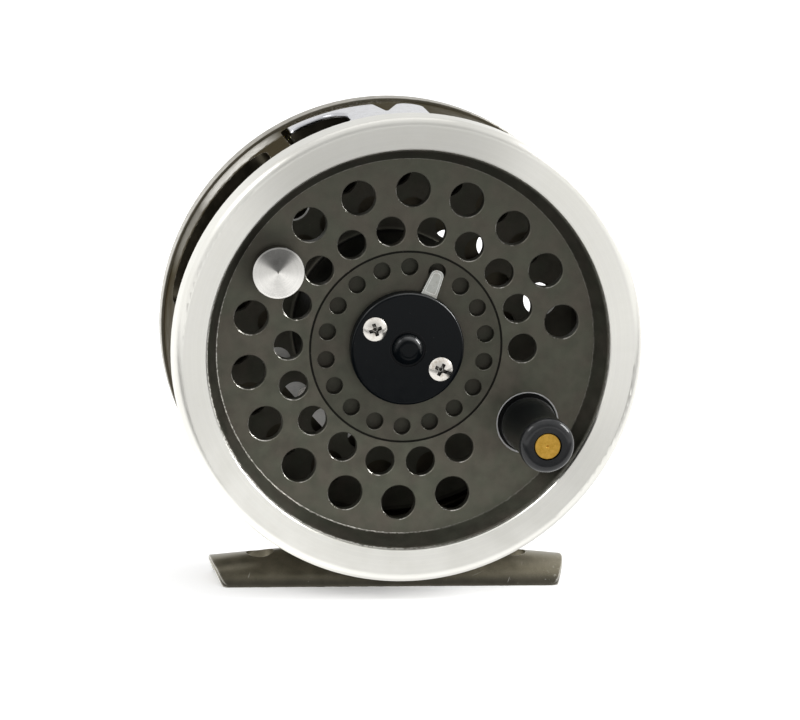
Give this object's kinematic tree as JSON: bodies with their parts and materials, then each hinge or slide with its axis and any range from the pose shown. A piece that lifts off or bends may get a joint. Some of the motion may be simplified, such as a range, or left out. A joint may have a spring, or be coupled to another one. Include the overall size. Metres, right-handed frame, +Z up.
{
  "type": "fly reel",
  "caption": "Single-action fly reel: perforated spool with a palming rim and handle, turning in a windowed cage frame on a saddle foot, with a click check.",
  "frame": {"origin": "on the spindle axis, in the plane of the spool's perforated face", "axes": "+Z up, away from the foot; +X to the right seen from the handle side; +Y from the handle side to the back plate, along the spindle"},
  "size_m": [0.086, 0.0525, 0.0895],
  "materials": {
    "spool_metal": "satin olive-grey face, bare machined rim band, worn edges",
    "frame_finish": "brown-olive metallic finish, worn to bright metal at the edges",
    "foot_finish": "brown-olive metallic finish, scratched and worn at the ends",
    "black_moulding": "satin black",
    "bright_plate": "bright plated",
    "nickel_screw": "nickel plated, slightly stained",
    "turned_weight": "bright, with lathe marks",
    "steel": "ground steel",
    "spring_steel": "drawn spring wire and strip",
    "brass": "dull, slightly tarnished",
    "gear_brass": "machined",
    "stamped_plate": "stamped sheet"
  },
  "bodies": {
    "frame": {"frame_cage": "frame_finish", "reel_foot": "foot_finish", "foot_screws": "steel", "line_guard": "bright_plate", "line_guard_screws": "nickel_screw", "spindle": "steel", "spindle_nut": "nickel_screw", "spindle_circlip": "spring_steel", "thrust_washer": "brass", "check_plate": "stamped_plate", "check_plate_screws": "nickel_screw", "pawl_post": "steel", "spring_post": "steel", "pawl_spring": "spring_steel"},
    "click_gear": {"click_gear": "gear_brass", "drive_pins": "steel"},
    "spool": {"spool": "spool_metal", "spool_bushes": "gear_brass", "counterweight": "turned_weight", "hub_cover": "black_moulding", "hub_cover_screws": "nickel_screw", "latch_spring": "spring_steel", "handle_pin": "brass", "handle_washer": "steel"},
    "latch": {"latch_lever": "bright_plate"},
    "handle": {"handle_knob": "black_moulding"},
    "pawl": {"click_pawl": "steel"},
    "drag": {"drag_cam": "steel", "drag_knob": "black_moulding", "drag_knob_screw": "nickel_screw"}
  },
  "joints": [
    {"name": "spool_spin", "type": "hinge", "parent": "frame", "child": "click_gear", "pos_m": [0, 0, 0], "axis": [0, 1, 0], "continuous": true},
    {"name": "spool_release", "type": "slide", "parent": "click_gear", "child": "spool", "axis": [0, -1, 0], "range_m": [0, 0.045], "deforming": ["latch_spring"]},
    {"name": "latch_press", "type": "slide", "parent": "spool", "child": "latch", "axis": [-0.3535, 0, -0.9354], "range_m": [0, 0.0009], "deforming": ["latch_spring"]},
    {"name": "handle_spin", "type": "hinge", "parent": "spool", "child": "handle", "pos_m": [0.02308, 0, -0.0142], "axis": [0, 1, 0], "continuous": true},
    {"name": "pawl_rock", "type": "hinge", "parent": "frame", "child": "pawl", "pos_m": [-0.01057, 0.0242, -0.00993], "axis": [0, 1, 0], "range_deg": [-3, 3]},
    {"name": "drag_knob_turn", "type": "hinge", "parent": "frame", "child": "drag", "pos_m": [-0.02032, 0.028, -0.00743], "axis": [0, 1, 0], "range_deg": [0, 180]}
  ]
}
